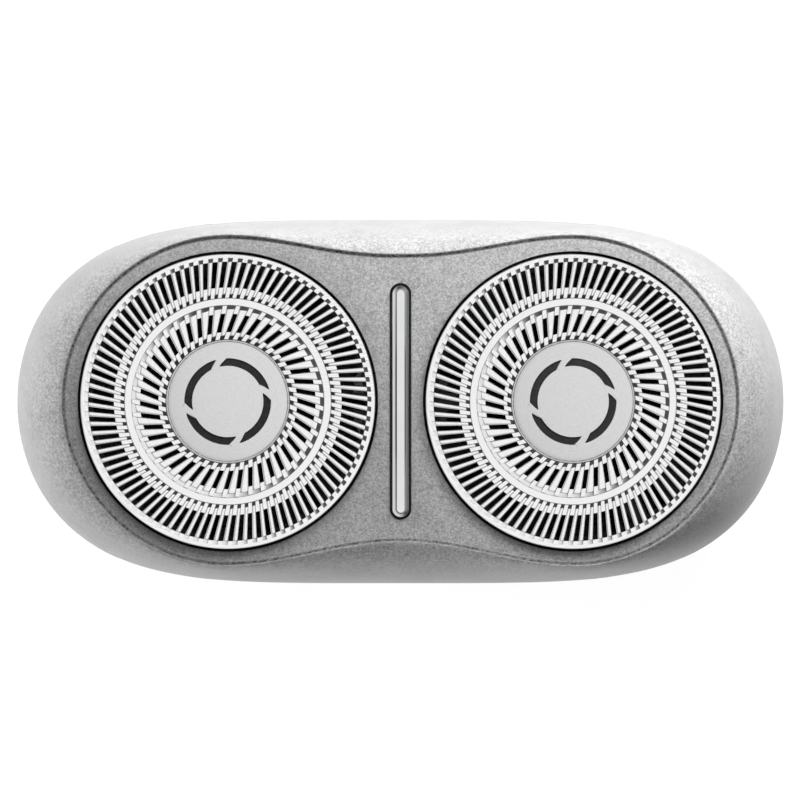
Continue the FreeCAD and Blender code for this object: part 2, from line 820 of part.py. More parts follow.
def spindle_seal(side):
    """Rubber ring on the cover's collar, round the spindle."""
    inner = spindle_radius + seal_gap
    outer = collar_radius + collar_wall
    top = collar_top + seal_height
    return at_head(turned([(inner, collar_top), (outer, collar_top), (outer, collar_top + seal_edge),
                           (inner + seal_lip, top), (inner, top)]), side)


def screw_places():
    return [(side_screw_x, 0.0), (-side_screw_x, 0.0), (0.0, front_screw_y), (0.0, -front_screw_y)]


def gear_cover():
    """Plate over the gears, with a collar round each spindle and a bearing for the drive gear's spigot."""
    plate = straight_prism(cavity_section(cover_height, cover_gap), cover_plate)
    plate = plate.fuse([cylinder(collar_radius + collar_wall, cover_height, collar_top, side * head_x)
                        for side in (-1, 1)])
    cuts = [cylinder(collar_radius, cover_height, collar_top, side * head_x) for side in (-1, 1)]
    cuts += [cylinder(screw_radius, cover_height, cover_top, x, y) for x, y in screw_places()]
    spigot_hole_top = gear_top + spigot_length + spigot_end_gap
    cuts.append(cylinder(spigot_radius + running_clearance, cover_height, spigot_hole_top))
    return plate.cut(cuts)


def cover_screws():
    """Four slotted screws that hold the gear cover down."""
    screws = []
    for x, y in screw_places():
        shank = cylinder(screw_radius, cover_top - screw_length, cover_top, x, y)
        head = cylinder(screw_head_radius, cover_top, cover_top + screw_head_height, x, y)
        slot = block(x - screw_slot / 2, x + screw_slot / 2, y - screw_head_radius, y + screw_head_radius,
                     cover_top + screw_head_height / 2, cover_top + screw_head_height)
        screws.append(shank.fuse(head).cut(slot))
    return Part.makeCompound(screws)


def base_shell():
    """Bowl of the base with its flange and the hinge's relief."""
    levels = [floor_bottom + (brim_bottom - floor_bottom) * k / 3 for k in range(4)]
    bowl = loft([base_section(height, 0.0) for height in levels])
    wall = straight_prism(base_section(brim_bottom, 0.0), rim_top - brim_bottom)
    brim = section(brim_bottom, lambda angle: reach(angle, outline_edge, base_flange_inset))
    brim = straight_prism(brim, base_flange)
    behind = block(-outline_half_length, outline_half_length, hinge_y - knuckle_radius - knuckle_clearance,
                   outline_half_width, brim_bottom, parting_height)
    thumb = block(-thumb_notch_width / 2, thumb_notch_width / 2, -outline_half_width,
                  -outline_half_width + thumb_notch_depth, brim_bottom, parting_height)
    cavity = straight_prism(cavity_section(floor_top, 0.0), rim_top - floor_top + 1)
    return bowl.fuse([wall, brim.cut([behind, thumb])]), cavity


def base_knuckle():
    """Middle knuckle of the hinge, on the base's rear wall."""
    half = base_knuckle_half_length
    barrel = rod_along_x(knuckle_radius, -half, half, hinge_y, hinge_z)
    web = block(-half, half, base_half_width - base_wall / 2, hinge_y, hinge_z - knuckle_radius,
                hinge_z + knuckle_radius - base_knuckle_web_step)
    return barrel.fuse(web)


def neck():
    """Coupling neck with the groove of its O-ring."""
    bore_radius = neck_radius - neck_wall
    ring = turned([(bore_radius, 0), (neck_radius, 0), (neck_radius, floor_bottom),
                   (bore_radius - neck_shoulder, floor_bottom),
                   (bore_radius - neck_shoulder, neck_bore_depth), (bore_radius, neck_bore_depth)])
    groove_inner = neck_radius + o_ring_proud - 2 * o_ring_section
    groove = tube(groove_inner, neck_radius + 1,
                  o_ring_height - o_ring_section, o_ring_height + o_ring_section)
    return ring, groove


def catch_tongue():
    """Low ledge on the base's front rim that the lid's bead snaps past."""
    crest = outline_half_width - lid_wall - catch_height / 2 - catch_clearance
    return block(-catch_width / 2, catch_width / 2, -crest, -base_half_width + base_wall / 2,
                 rim_top - catch_height, rim_top)


def base_housing():
    bowl, cavity = base_shell()
    ring, groove = neck()
    bosses = [cylinder(boss_radius, floor_bottom, cover_height, x, y) for x, y in screw_places()]
    for side in (-1, 1):
        bosses.append(cylinder(axle_radius + axle_boss_wall, floor_bottom, gear_bottom, side * head_x))
    pilot_bottom = cover_top - screw_length - screw_pilot_room
    cuts = [cylinder(screw_radius, pilot_bottom, cover_height, x, y) for x, y in screw_places()]
    cuts += [cylinder(axle_radius, floor_top - axle_seat, gear_bottom, side * head_x) for side in (-1, 1)]
    cuts.append(cylinder(drive_hub_radius + running_clearance + bush_wall, floor_bottom - 1, floor_top + 1))
    half = base_knuckle_half_length
    cuts.append(rod_along_x(hinge_pin_radius, -half, half, hinge_y, hinge_z))
    cuts.append(groove)
    body = bowl.cut(cavity).fuse(bosses + [ring, base_knuckle(), catch_tongue()])
    return body.cut(cuts).removeSplitter()


def neck_o_ring():
    """O-ring, its round section drawn with a dozen sides."""
    centre = neck_radius + o_ring_proud - o_ring_section
    angles = [2 * math.pi * k / o_ring_sides for k in range(o_ring_sides)]
    return turned([(centre + o_ring_section * math.cos(angle),
                    o_ring_height + o_ring_section * math.sin(angle)) for angle in angles])


def hinge_pin():
    half = base_knuckle_half_length + knuckle_gap + lid_knuckle_length - hinge_pin_end_gap
    return rod_along_x(hinge_pin_radius, -half, half, hinge_y, hinge_z)


def build():
    nodes = {
        "lid_housing": lid_housing(),
        "centre_bar": centre_bar(),
        "retaining_frame": retaining_frame(),
        "lock_wheel": lock_wheel(),
        "base_housing": base_housing(),
        "neck_o_ring": neck_o_ring(),
        "hinge_pin": hinge_pin(),
        "gear_cover": gear_cover(),
        "cover_screws": cover_screws(),
        "drive_gear": drive_gear(),
        "drive_clip": drive_clip(),
        "drive_bush": drive_bush(),
    }
    per_head = {
        "guard": guard,
        "cap": cap,
        "cutter": cutter,
        "cutter_hub": cutter_hub,
        "spindle": spindle,
        "spindle_spring": spring,
        "spindle_seal": spindle_seal,
        "driven_gear": driven_gear,
        "axle": axle,
    }
    for name, make in per_head.items():
        nodes[name + "_left"] = make(-1)
        nodes[name + "_right"] = make(1)
    return nodes


os.makedirs("parts", exist_ok=True)
for node, shape in build().items():
    shape.exportStep("parts/" + node + ".step")
    print(node, "solids", len(shape.Solids), "valid", shape.isValid(), "volume", round(shape.Volume, 2))
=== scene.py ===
import math

import bmesh
import bpy
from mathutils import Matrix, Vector
from mathutils.geometry import delaunay_2d_cdt


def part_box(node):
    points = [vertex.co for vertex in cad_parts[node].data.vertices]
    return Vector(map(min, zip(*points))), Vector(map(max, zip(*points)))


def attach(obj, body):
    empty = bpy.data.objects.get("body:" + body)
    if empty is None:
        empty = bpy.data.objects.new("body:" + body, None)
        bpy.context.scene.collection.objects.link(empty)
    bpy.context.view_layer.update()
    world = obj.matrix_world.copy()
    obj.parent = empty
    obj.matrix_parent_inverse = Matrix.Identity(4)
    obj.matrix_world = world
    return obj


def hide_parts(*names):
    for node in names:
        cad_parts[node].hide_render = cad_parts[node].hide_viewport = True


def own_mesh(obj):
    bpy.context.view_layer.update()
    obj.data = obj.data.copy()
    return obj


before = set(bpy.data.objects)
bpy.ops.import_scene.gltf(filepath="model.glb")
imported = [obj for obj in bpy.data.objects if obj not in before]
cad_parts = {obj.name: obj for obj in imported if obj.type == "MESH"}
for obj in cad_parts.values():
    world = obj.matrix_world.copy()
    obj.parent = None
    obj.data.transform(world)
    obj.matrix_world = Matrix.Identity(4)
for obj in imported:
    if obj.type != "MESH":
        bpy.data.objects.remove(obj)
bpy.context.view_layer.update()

mm = 0.001
sides = {"left": -1, "right": 1}

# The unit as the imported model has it: heights in millimetres above the neck's end
unit = {
    "headX": 14.0,
    "faceTop": 20.0,
    "rimTop": 20.3,
    "guardTop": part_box("guard_left")[1].z / mm,
    "capTop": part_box("cap_left")[1].z / mm,
    "cupFloor": 19.9,
    "bladeTop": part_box("cutter_left")[1].z / mm,
}


def addNode(tree, kind, inputs=None, **settings):
    node = tree.nodes.new(kind)
    for name, value in settings.items():
        setattr(node, name, value)
    for socket, value in (inputs or {}).items():
        if isinstance(value, bpy.types.NodeSocket):
            tree.links.new(value, node.inputs[socket])
        else:
            node.inputs[socket].default_value = value
    return node


def linear(hexCode):  # sRGB hex to the linear colour that a socket takes
    channels = [int(hexCode[k:k + 2], 16) / 255 for k in (1, 3, 5)]
    return [c / 12.92 if c <= 0.04045 else ((c + 0.055) / 1.055) ** 2.4 for c in channels] + [1.0]


def newMaterial(name):  # a material, its empty tree and the object coordinates in it
    material = bpy.data.materials.new(name)
    material.use_nodes = True
    tree = material.node_tree
    tree.nodes.clear()
    return material, tree, addNode(tree, "ShaderNodeTexCoord").outputs["Object"]


def finishMaterial(tree, shader):
    addNode(tree, "ShaderNodeOutputMaterial", {"Surface": shader.outputs[0]})


def patternScale(size):  # texture scale for a pattern whose cells measure size millimetres
    return 1 / (size * mm)


print("camera and studio")

# The photograph looks straight down on the guards, from far away
cameraView = {
    "height": 2.0,
    "frameWidth": 64.93 * mm,  # what the frame spans at the face
    "faceHeight": 18.0 * mm,
    "shift": (-0.04 * mm, 0.12 * mm),
    "sensorWidth": 36.0,
    "clipStart": 0.05,
}
cameraData = bpy.data.cameras.new("photoCamera")
cameraData.sensor_width = cameraView["sensorWidth"]
distance = cameraView["height"] - cameraView["faceHeight"]
cameraData.lens = cameraView["sensorWidth"] * distance / cameraView["frameWidth"]
cameraData.clip_start = cameraView["clipStart"]
camera = bpy.data.objects.new("photoCamera", cameraData)
camera.location = (cameraView["shift"][0], cameraView["shift"][1], cameraView["height"])
bpy.context.scene.collection.objects.link(camera)
bpy.context.scene.camera = camera
bpy.context.scene.view_settings.view_transform = "Standard"

# A pale dome that leans to the upper right, dark round it, and a horizon that is open on the lower left
# An edge is a pair of cosines, or for the horizon sines, between which a smooth step comes up
studio = {
    "zenith": 1.0,
    "domeAxis": (0.20, 0.13, 0.971),
    "domeEdge": (0.55, 0.94),
    "darkHorizon": 0.08,
    "openHorizon": 0.9,
    "horizonEdge": (0.75, 0.45),
    "openSide": (-0.85, -0.53, 0.0),
    "sideEdge": (-0.3, 0.8),
}
world = bpy.data.worlds.new("softDome")
world.use_nodes = True
tree = world.node_tree
tree.nodes.clear()
direction = addNode(tree, "ShaderNodeTexCoord").outputs["Generated"]
elevation = addNode(tree, "ShaderNodeSeparateXYZ", {0: direction}).outputs["Z"]
fromAxis = addNode(tree, "ShaderNodeVectorMath", {0: direction, 1: studio["domeAxis"]},
                   operation="DOT_PRODUCT").outputs["Value"]
towards = addNode(tree, "ShaderNodeVectorMath", {0: direction, 1: studio["openSide"]},
                  operation="DOT_PRODUCT").outputs["Value"]
inDome, nearHorizon, onOpenSide = [
    addNode(tree, "ShaderNodeMapRange", {"Value": measure, "From Min": low, "From Max": high},
            interpolation_type="SMOOTHSTEP").outputs["Result"]
    for measure, (low, high) in ((fromAxis, studio["domeEdge"]), (elevation, studio["horizonEdge"]),
                                 (towards, studio["sideEdge"]))]
opening = addNode(tree, "ShaderNodeMath", {0: onOpenSide, 1: nearHorizon}, operation="MULTIPLY").outputs[0]
horizon = addNode(tree, "ShaderNodeMapRange", {"Value": opening, "To Min": studio["darkHorizon"],
                                               "To Max": studio["openHorizon"]}).outputs["Result"]
level = addNode(tree, "ShaderNodeMapRange", {"Value": inDome, "To Min": horizon,
                                             "To Max": studio["zenith"]}).outputs["Result"]
seenByCamera = addNode(tree, "ShaderNodeLightPath").outputs["Is Camera Ray"]
strength = addNode(tree, "ShaderNodeMix", {"Factor": seenByCamera, "A": level, "B": 1.0},
                   data_type="FLOAT").outputs["Result"]
background = addNode(tree, "ShaderNodeBackground", {"Color": linear("#FFFFFF"), "Strength": strength})
addNode(tree, "ShaderNodeOutputWorld", {"Surface": background.outputs[0]})
bpy.context.scene.world = world

# Two soft lamps close above, whose light fades across the face, and low fills round the far and left flanks
# They have no gleam of their own, so that the steel and the chrome show the dome alone
lamps = {
    "nearRightLamp": {"place": (0.035, 0.025, 0.050), "size": 0.03, "power": 0.084},
    "nearLeftLamp": {"place": (-0.010, 0.041, 0.053), "size": 0.04, "power": 0.090},
    "farRightFill": {"place": (0.255, 0.208, 0.026), "size": 0.08, "power": 4.0},
    "farLeftFill": {"place": (-0.233, 0.233, 0.026), "size": 0.08, "power": 3.0},
    "leftFill": {"place": (-0.300, 0.0, 0.085), "size": 0.08, "power": 0.9},
    "nearLeftFill": {"place": (-0.233, -0.233, 0.026), "size": 0.08, "power": 2.7},
}
lampTarget = (0, 0, 0.015)
for name, lamp in lamps.items():
    lampData = bpy.data.lights.new(name, "AREA")
    lampData.shape = "DISK"
    lampData.size = lamp["size"]
    lampData.energy = lamp["power"]
    lampObject = bpy.data.objects.new(name, lampData)
    lampObject.location = lamp["place"]
    aim = Vector(lampTarget) - Vector(lamp["place"])
    lampObject.rotation_euler = aim.to_track_quat("-Z", "Y").to_euler()
    lampObject.visible_camera = False
    lampObject.visible_glossy = False
    bpy.context.scene.collection.objects.link(lampObject)

# White table that still takes a faint shadow: glow is the share of plain white that the camera sees
tableTop = {"radius": 1.5, "corners": 64, "glow": 0.9}
material, tree, _ = newMaterial("matteWhiteTable")
rays = addNode(tree, "ShaderNodeLightPath")
seen = addNode(tree, "ShaderNodeMath", {0: rays.outputs["Is Camera Ray"], 1: rays.outputs["Is Glossy Ray"]},
               operation="MAXIMUM").outputs[0]
seen = addNode(tree, "ShaderNodeMath", {0: seen, 1: rays.outputs["Is Transmission Ray"]},
               operation="MAXIMUM").outputs[0]
share = addNode(tree, "ShaderNodeMath", {0: seen, 1: tableTop["glow"]}, operation="MULTIPLY").outputs[0]
matte = addNode(tree, "ShaderNodeBsdfDiffuse", {"Color": linear("#F4F4F4")})
glow = addNode(tree, "ShaderNodeEmission", {"Color": linear("#FFFFFF"), "Strength": 1.0})
finishMaterial(tree, addNode(tree, "ShaderNodeMixShader", {
    0: share, 1: matte.outputs[0], 2: glow.outputs[0]}))
turns = [math.tau * k / tableTop["corners"] for k in range(tableTop["corners"])]
mesh = bpy.data.meshes.new("tableTop")
corners = [(tableTop["radius"] * math.cos(turn), tableTop["radius"] * math.sin(turn), 0) for turn in turns]
mesh.from_pydata(corners, [], [list(range(tableTop["corners"]))])
mesh.materials.append(material)
table = bpy.data.objects.new("tableTop", mesh)
bpy.context.scene.collection.objects.link(table)


print("materials")

# ABS sprayed with metallic lacquer: aluminium flakes sparkle grey, and the crease is painted near black and
# less glossy as painted shade
silverLacquer, tree, place = newMaterial("sprayedSilverLacquerAbs")
lacquer = {"flake": 0.11, "clump": 0.3, "mottle": 2.2, "peel": 0.7}  # millimetres; flakes drawn too large
flake = addNode(tree, "ShaderNodeTexVoronoi", {"Vector": place, "Scale": patternScale(lacquer["flake"])})
flakeTone = addNode(tree, "ShaderNodeSeparateColor", {0: flake.outputs["Color"]}).outputs[0]
clump = addNode(tree, "ShaderNodeTexNoise", {"Vector": place, "Scale": patternScale(lacquer["clump"]),
                                             "Detail": 3.0}).outputs["Fac"]
mottle = addNode(tree, "ShaderNodeTexNoise", {"Vector": place, "Scale": patternScale(lacquer["mottle"]),
                                              "Detail": 3.0}).outputs["Fac"]
mixed = addNode(tree, "ShaderNodeMath", {0: flakeTone, 1: clump}, operation="ADD").outputs[0]
faintMottle = addNode(tree, "ShaderNodeMath", {0: mottle, 1: 0.4}, operation="MULTIPLY").outputs[0]
mixed = addNode(tree, "ShaderNodeMath", {0: mixed, 1: faintMottle}, operation="ADD").outputs[0]
tone = addNode(tree, "ShaderNodeMapRange", {"Value": mixed, "From Min": 0.3,
                                            "From Max": 2.1}).outputs["Result"]
silver = addNode(tree, "ShaderNodeMix", {"Factor": tone, "A": linear("#3A3A3A"), "B": linear("#717171")},
                 data_type="RGBA").outputs["Result"]
# Painted shade: the crease weight from the lid skin turns the lacquer near black, less metallic and less
# glossy
creaseShade = addNode(tree, "ShaderNodeAttribute", attribute_name="paintedCreaseShade").outputs["Fac"]
speckle = addNode(tree, "ShaderNodeMapRange", {"Value": clump, "From Min": 0.35, "From Max": 0.65,
                                               "To Min": 0.45, "To Max": 1.0}).outputs["Result"]
creaseShade = addNode(tree, "ShaderNodeMath", {0: creaseShade, 1: speckle}, operation="MULTIPLY").outputs[0]
colour = addNode(tree, "ShaderNodeMix", {"Factor": creaseShade, "A": silver, "B": linear("#1C1C1C")},
                 data_type="RGBA").outputs["Result"]
rough, metal, sheen = [
    addNode(tree, "ShaderNodeMapRange", {"Value": value, "To Min": low, "To Max": high}).outputs["Result"]
    for value, low, high in ((flakeTone, 0.38, 0.5), (creaseShade, 0.2, 0.0), (creaseShade, 0.3, 0.0))]
peel = addNode(tree, "ShaderNodeTexNoise", {"Vector": place, "Scale": patternScale(lacquer["peel"]),
                                            "Detail": 2.0}).outputs["Fac"]
bumpHeight = addNode(tree, "ShaderNodeMath", {0: peel, 1: flakeTone}, operation="ADD").outputs[0]
bump = addNode(tree, "ShaderNodeBump", {"Strength": 0.2, "Distance": 0.01 * mm, "Height": bumpHeight})
finishMaterial(tree, addNode(tree, "ShaderNodeBsdfPrincipled", {
    "Base Color": colour, "Metallic": metal, "Roughness": rough, "Normal": bump.outputs["Normal"],
    "Specular IOR Level": sheen, "Coat Weight": 0.08, "Coat Roughness": 0.35}))

# Stainless spring steel, pressed and electropolished: mirror tops with fine streaks along the ribs
pressedSteel, tree, place = newMaterial("electropolishedStainlessSteel")
steel = {"streakLength": 2.0, "streakWidth": 0.09, "streakDepth": 2.5, "cloud": 3.0}
ringPlace = addNode(tree, "ShaderNodeAttribute", attribute_name="ringPlace").outputs["Vector"]
streakScale = [1 / steel[size] for size in ("streakLength", "streakWidth", "streakDepth")]
stretched = addNode(tree, "ShaderNodeVectorMath", {0: ringPlace, 1: streakScale},
                    operation="MULTIPLY").outputs[0]
streak = addNode(tree, "ShaderNodeTexNoise", {"Vector": stretched, "Scale": 1.0,
                                              "Detail": 2.0}).outputs["Fac"]
cloud = addNode(tree, "ShaderNodeTexNoise", {"Vector": place, "Scale": patternScale(steel["cloud"]),
                                             "Detail": 2.0}).outputs["Fac"]
tone = addNode(tree, "ShaderNodeMapRange", {"Value": streak, "From Min": 0.35,
                                            "From Max": 0.65}).outputs["Result"]
colour = addNode(tree, "ShaderNodeMix", {"Factor": tone, "A": linear("#E6E7E8"), "B": linear("#F8F8F7")},
                 data_type="RGBA").outputs["Result"]
rough = addNode(tree, "ShaderNodeMapRange", {"Value": cloud, "To Min": 0.08,
                                             "To Max": 0.16}).outputs["Result"]
bump = addNode(tree, "ShaderNodeBump", {"Strength": 0.1, "Distance": 0.004 * mm, "Height": streak})
finishMaterial(tree, addNode(tree, "ShaderNodeBsdfPrincipled", {
    "Base Color": colour, "Metallic": 1.0, "Roughness": rough, "Normal": bump.outputs["Normal"]}))

# The same steel painted dark as shade inside the tracks, with a faint mottle (painted shade)
shadeDarkenedSteel, tree, place = newMaterial("shadeDarkenedStainlessSteel")
darkMottle = addNode(tree, "ShaderNodeTexNoise", {"Vector": place, "Scale": patternScale(0.5),
                                                 "Detail": 4.0}).outputs["Fac"]
colour = addNode(tree, "ShaderNodeMix", {"Factor": darkMottle, "A": linear("#17181A"), "B": linear("#2B2A2B")},
                 data_type="RGBA").outputs["Result"]
finishMaterial(tree, addNode(tree, "ShaderNodeBsdfPrincipled", {
    "Base Color": colour, "Metallic": 0.6, "Roughness": 0.6}))

# Stainless steel turned on a lathe: satin face with fine rings, drawn about three times too coarse to show
turnedSteel, tree, place = newMaterial("turnedSatinStainlessSteel")
turning = {"ringPitch": 0.12, "speck": 0.25,
           "crown": 0.012}  # the face falls away from the middle by this much times the radius squared
ringPlace = addNode(tree, "ShaderNodeAttribute", attribute_name="ringPlace").outputs["Vector"]
radius = addNode(tree, "ShaderNodeSeparateXYZ", {0: ringPlace}).outputs["X"]
ringCount = addNode(tree, "ShaderNodeMath", {0: radius, 1: 1 / turning["ringPitch"]},
                    operation="MULTIPLY").outputs[0]
rings = addNode(tree, "ShaderNodeTexNoise", {"W": ringCount, "Scale": 1.0, "Detail": 3.0},
                noise_dimensions="1D").outputs["Fac"]
speck = addNode(tree, "ShaderNodeTexNoise", {"Vector": place, "Scale": patternScale(turning["speck"]),
                                             "Detail": 2.0}).outputs["Fac"]
mixed = addNode(tree, "ShaderNodeMath", {0: rings, 1: speck}, operation="ADD").outputs[0]
tone = addNode(tree, "ShaderNodeMapRange", {"Value": mixed, "From Min": 0.6,
                                            "From Max": 1.4}).outputs["Result"]
colour = addNode(tree, "ShaderNodeMix", {"Factor": tone, "A": linear("#DADADA"), "B": linear("#E6E6E6")},
                 data_type="RGBA").outputs["Result"]
crown = addNode(tree, "ShaderNodeMath", {0: radius, 1: radius}, operation="MULTIPLY").outputs[0]
crown = addNode(tree, "ShaderNodeMath", {0: crown, 1: -turning["crown"]}, operation="MULTIPLY").outputs[0]
crown = addNode(tree, "ShaderNodeBump", {"Strength": 1.0, "Distance": mm, "Height": crown}).outputs["Normal"]
bump = addNode(tree, "ShaderNodeBump", {"Strength": 0.05, "Distance": 0.004 * mm, "Height": rings,
                                        "Normal": crown})
finishMaterial(tree, addNode(tree, "ShaderNodeBsdfPrincipled", {
    "Base Color": colour, "Metallic": 1.0, "Roughness": 0.36, "Anisotropic": 0.15,
    "Normal": bump.outputs["Normal"]}))

# Black enamel rolled into the sunk arcs: near black, slightly glossy
arcEnamel, tree, place = newMaterial("blackArcEnamel")
dust = addNode(tree, "ShaderNodeTexNoise", {"Vector": place, "Scale": patternScale(0.3),
                                            "Detail": 3.0}).outputs["Fac"]
colour = addNode(tree, "ShaderNodeMix", {"Factor": dust, "A": linear("#0B0B0C"), "B": linear("#171718")},
                 data_type="RGBA").outputs["Result"]
finishMaterial(tree, addNode(tree, "ShaderNodeBsdfPrincipled", {
    "Base Color": colour, "Roughness": 0.5, "Specular IOR Level": 0.12}))

# ABS plated with bright chromium: a clean mirror with a few soft waves
brightChrome, tree, place = newMaterial("brightChromePlating")
waves = addNode(tree, "ShaderNodeTexNoise", {"Vector": place, "Scale": patternScale(2.5),
                                             "Detail": 2.0}).outputs["Fac"]
colour = addNode(tree, "ShaderNodeMix", {"Factor": waves, "A": linear("#D8D9DA"), "B": linear("#E6E6E6")},
                 data_type="RGBA").outputs["Result"]
bump = addNode(tree, "ShaderNodeBump", {"Strength": 0.08, "Distance": 0.01 * mm, "Height": waves})
finishMaterial(tree, addNode(tree, "ShaderNodeBsdfPrincipled", {
    "Base Color": colour, "Metallic": 1.0, "Roughness": 0.07, "Normal": bump.outputs["Normal"]}))

# Hardened blades painted near black as the shade inside the head (painted shade), a little lighter over the
# last part of each tip, where it is ground
groundSteel, tree, place = newMaterial("groundBladeSteel")
grinding = {"depth": 0.2, "waver": 0.3, "grain": 0.12}
bladeHeight = addNode(tree, "ShaderNodeSeparateXYZ", {0: place}).outputs["Z"]
grain = addNode(tree, "ShaderNodeTexNoise", {"Vector": place, "Scale": patternScale(grinding["grain"]),
                                             "Detail": 3.0}).outputs["Fac"]
waver = addNode(tree, "ShaderNodeMath", {0: grain, 1: grinding["waver"] * mm},
                operation="MULTIPLY").outputs[0]
edgeHeight = addNode(tree, "ShaderNodeMath", {0: bladeHeight, 1: waver}, operation="ADD").outputs[0]
ground = addNode(tree, "ShaderNodeMapRange", {
    "Value": edgeHeight, "From Min": (unit["bladeTop"] - grinding["depth"]) * mm,
    "From Max": unit["bladeTop"] * mm}).outputs["Result"]
colour = addNode(tree, "ShaderNodeMix", {"Factor": ground, "A": linear("#0F0F10"), "B": linear("#262627")},
                 data_type="RGBA").outputs["Result"]
bump = addNode(tree, "ShaderNodeBump", {"Strength": 0.2, "Distance": 0.005 * mm, "Height": grain})
finishMaterial(tree, addNode(tree, "ShaderNodeBsdfPrincipled", {
    "Base Color": colour, "Metallic": 0.9, "Roughness": 0.45, "Normal": bump.outputs["Normal"]}))

# Zinc-plated and drawn steel of the pins, clip and springs
platedSteel, tree, place = newMaterial("zincPlatedSteel")
spangle = addNode(tree, "ShaderNodeTexNoise", {"Vector": place, "Scale": patternScale(0.4),
                                               "Detail": 3.0}).outputs["Fac"]
colour = addNode(tree, "ShaderNodeMix", {"Factor": spangle, "A": linear("#A9ACB0"), "B": linear("#C6C9CC")},
                 data_type="RGBA").outputs["Result"]
rough = addNode(tree, "ShaderNodeMapRange", {"Value": spangle, "To Min": 0.2,
                                             "To Max": 0.36}).outputs["Result"]
finishMaterial(tree, addNode(tree, "ShaderNodeBsdfPrincipled", {
    "Base Color": colour, "Metallic": 1.0, "Roughness": rough}))

# Oil-filled sintered bronze: dull brown metal full of pores
sinteredBronze, tree, place = newMaterial("sinteredBronze")
pores = addNode(tree, "ShaderNodeTexVoronoi", {"Vector": place,
                                               "Scale": patternScale(0.18)}).outputs["Distance"]
colour = addNode(tree, "ShaderNodeMix", {"Factor": pores, "A": linear("#6E4E2C"), "B": linear("#A0743F")},
                 data_type="RGBA").outputs["Result"]
bump = addNode(tree, "ShaderNodeBump", {"Strength": 0.4, "Distance": 0.02 * mm, "Height": pores})
finishMaterial(tree, addNode(tree, "ShaderNodeBsdfPrincipled", {
    "Base Color": colour, "Metallic": 1.0, "Roughness": 0.42, "Normal": bump.outputs["Normal"]}))

# Plastics and rubber, each with the grain that its tool leaves: grain and relief in millimetres
plastics = {
    # ABS moulded in a spark-eroded tool: dark grey, even fine grain
    "sparkErodedDarkAbs": {"dark": "#26272A", "light": "#303134", "grain": 0.22, "rough": (0.42, 0.56),
                           "relief": 0.02, "ior": 1.54},
    # Acetal moulded in a polished tool: slick black, faint flow marks
    "mouldedBlackAcetal": {"dark": "#1B1C1E", "light": "#242528", "grain": 0.6, "rough": (0.28, 0.38),
                           "relief": 0.006, "ior": 1.48},
    # The same resin in grey, for the wheel that fingers turn
    "mouldedGreyAcetal": {"dark": "#7E8286", "light": "#8C9094", "grain": 0.5, "rough": (0.3, 0.42),
                          "relief": 0.008, "ior": 1.48},
    # Natural acetal gears: milky white with a waxy gleam
    "naturalAcetalGear": {"dark": "#DCDAD2", "light": "#E9E7E0", "grain": 0.5, "rough": (0.26, 0.36),
                          "relief": 0.006, "ior": 1.48},
    # Nitrile rubber: soft black, dusty sheen
    "mouldedNitrileRubber": {"dark": "#161617", "light": "#1F1F20", "grain": 0.16, "rough": (0.5, 0.66),
                             "relief": 0.012, "ior": 1.52},
}
plasticMaterials = {}
for name, resin in plastics.items():
    plasticMaterials[name], tree, place = newMaterial(name)
    grain = addNode(tree, "ShaderNodeTexNoise", {"Vector": place, "Scale": patternScale(resin["grain"]),
                                                 "Detail": 4.0, "Roughness": 0.6}).outputs["Fac"]
    cloud = addNode(tree, "ShaderNodeTexNoise", {"Vector": place, "Scale": patternScale(6.0),
                                                 "Detail": 2.0}).outputs["Fac"]
    tone = addNode(tree, "ShaderNodeMath", {0: grain, 1: cloud}, operation="MULTIPLY").outputs[0]
    tone = addNode(tree, "ShaderNodeMapRange", {"Value": tone, "From Min": 0.15,
                                                "From Max": 0.4}).outputs["Result"]
    colour = addNode(tree, "ShaderNodeMix", {"Factor": tone, "A": linear(resin["dark"]),
                                             "B": linear(resin["light"])}, data_type="RGBA").outputs["Result"]
    rough = addNode(tree, "ShaderNodeMapRange", {"Value": grain, "To Min": resin["rough"][0],
                                                 "To Max": resin["rough"][1]}).outputs["Result"]
    bump = addNode(tree, "ShaderNodeBump", {"Strength": 0.5, "Distance": resin["relief"] * mm,
                                            "Height": grain})
    finishMaterial(tree, addNode(tree, "ShaderNodeBsdfPrincipled", {
        "Base Color": colour, "Roughness": rough, "IOR": resin["ior"], "Normal": bump.outputs["Normal"]}))


print("finishes on the packed nodes")
darkAbs = plasticMaterials["sparkErodedDarkAbs"]
blackAcetal = plasticMaterials["mouldedBlackAcetal"]
gearAcetal = plasticMaterials["naturalAcetalGear"]
nitrileRubber = plasticMaterials["mouldedNitrileRubber"]
nodeFinish = {
    "retaining_frame": blackAcetal,
    "lock_wheel": plasticMaterials["mouldedGreyAcetal"],
    "base_housing": darkAbs,
    "gear_cover": darkAbs,
    "hinge_pin": platedSteel,
    "cover_screws": shadeDarkenedSteel,  # painted dark as shade, so that they don't shine through the slots
    "drive_gear": gearAcetal,
    "drive_clip": platedSteel,
    "drive_bush": sinteredBronze,
}
for side in sides:
    nodeFinish["cutter_" + side] = groundSteel
    nodeFinish["cutter_hub_" + side] = blackAcetal
    nodeFinish["spindle_" + side] = blackAcetal
    nodeFinish["spindle_seal_" + side] = nitrileRubber
    nodeFinish["driven_gear_" + side] = gearAcetal
    nodeFinish["axle_" + side] = platedSteel
for name, material in nodeFinish.items():
    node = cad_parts[name]
    node.data.materials.clear()
    node.data.materials.append(material)


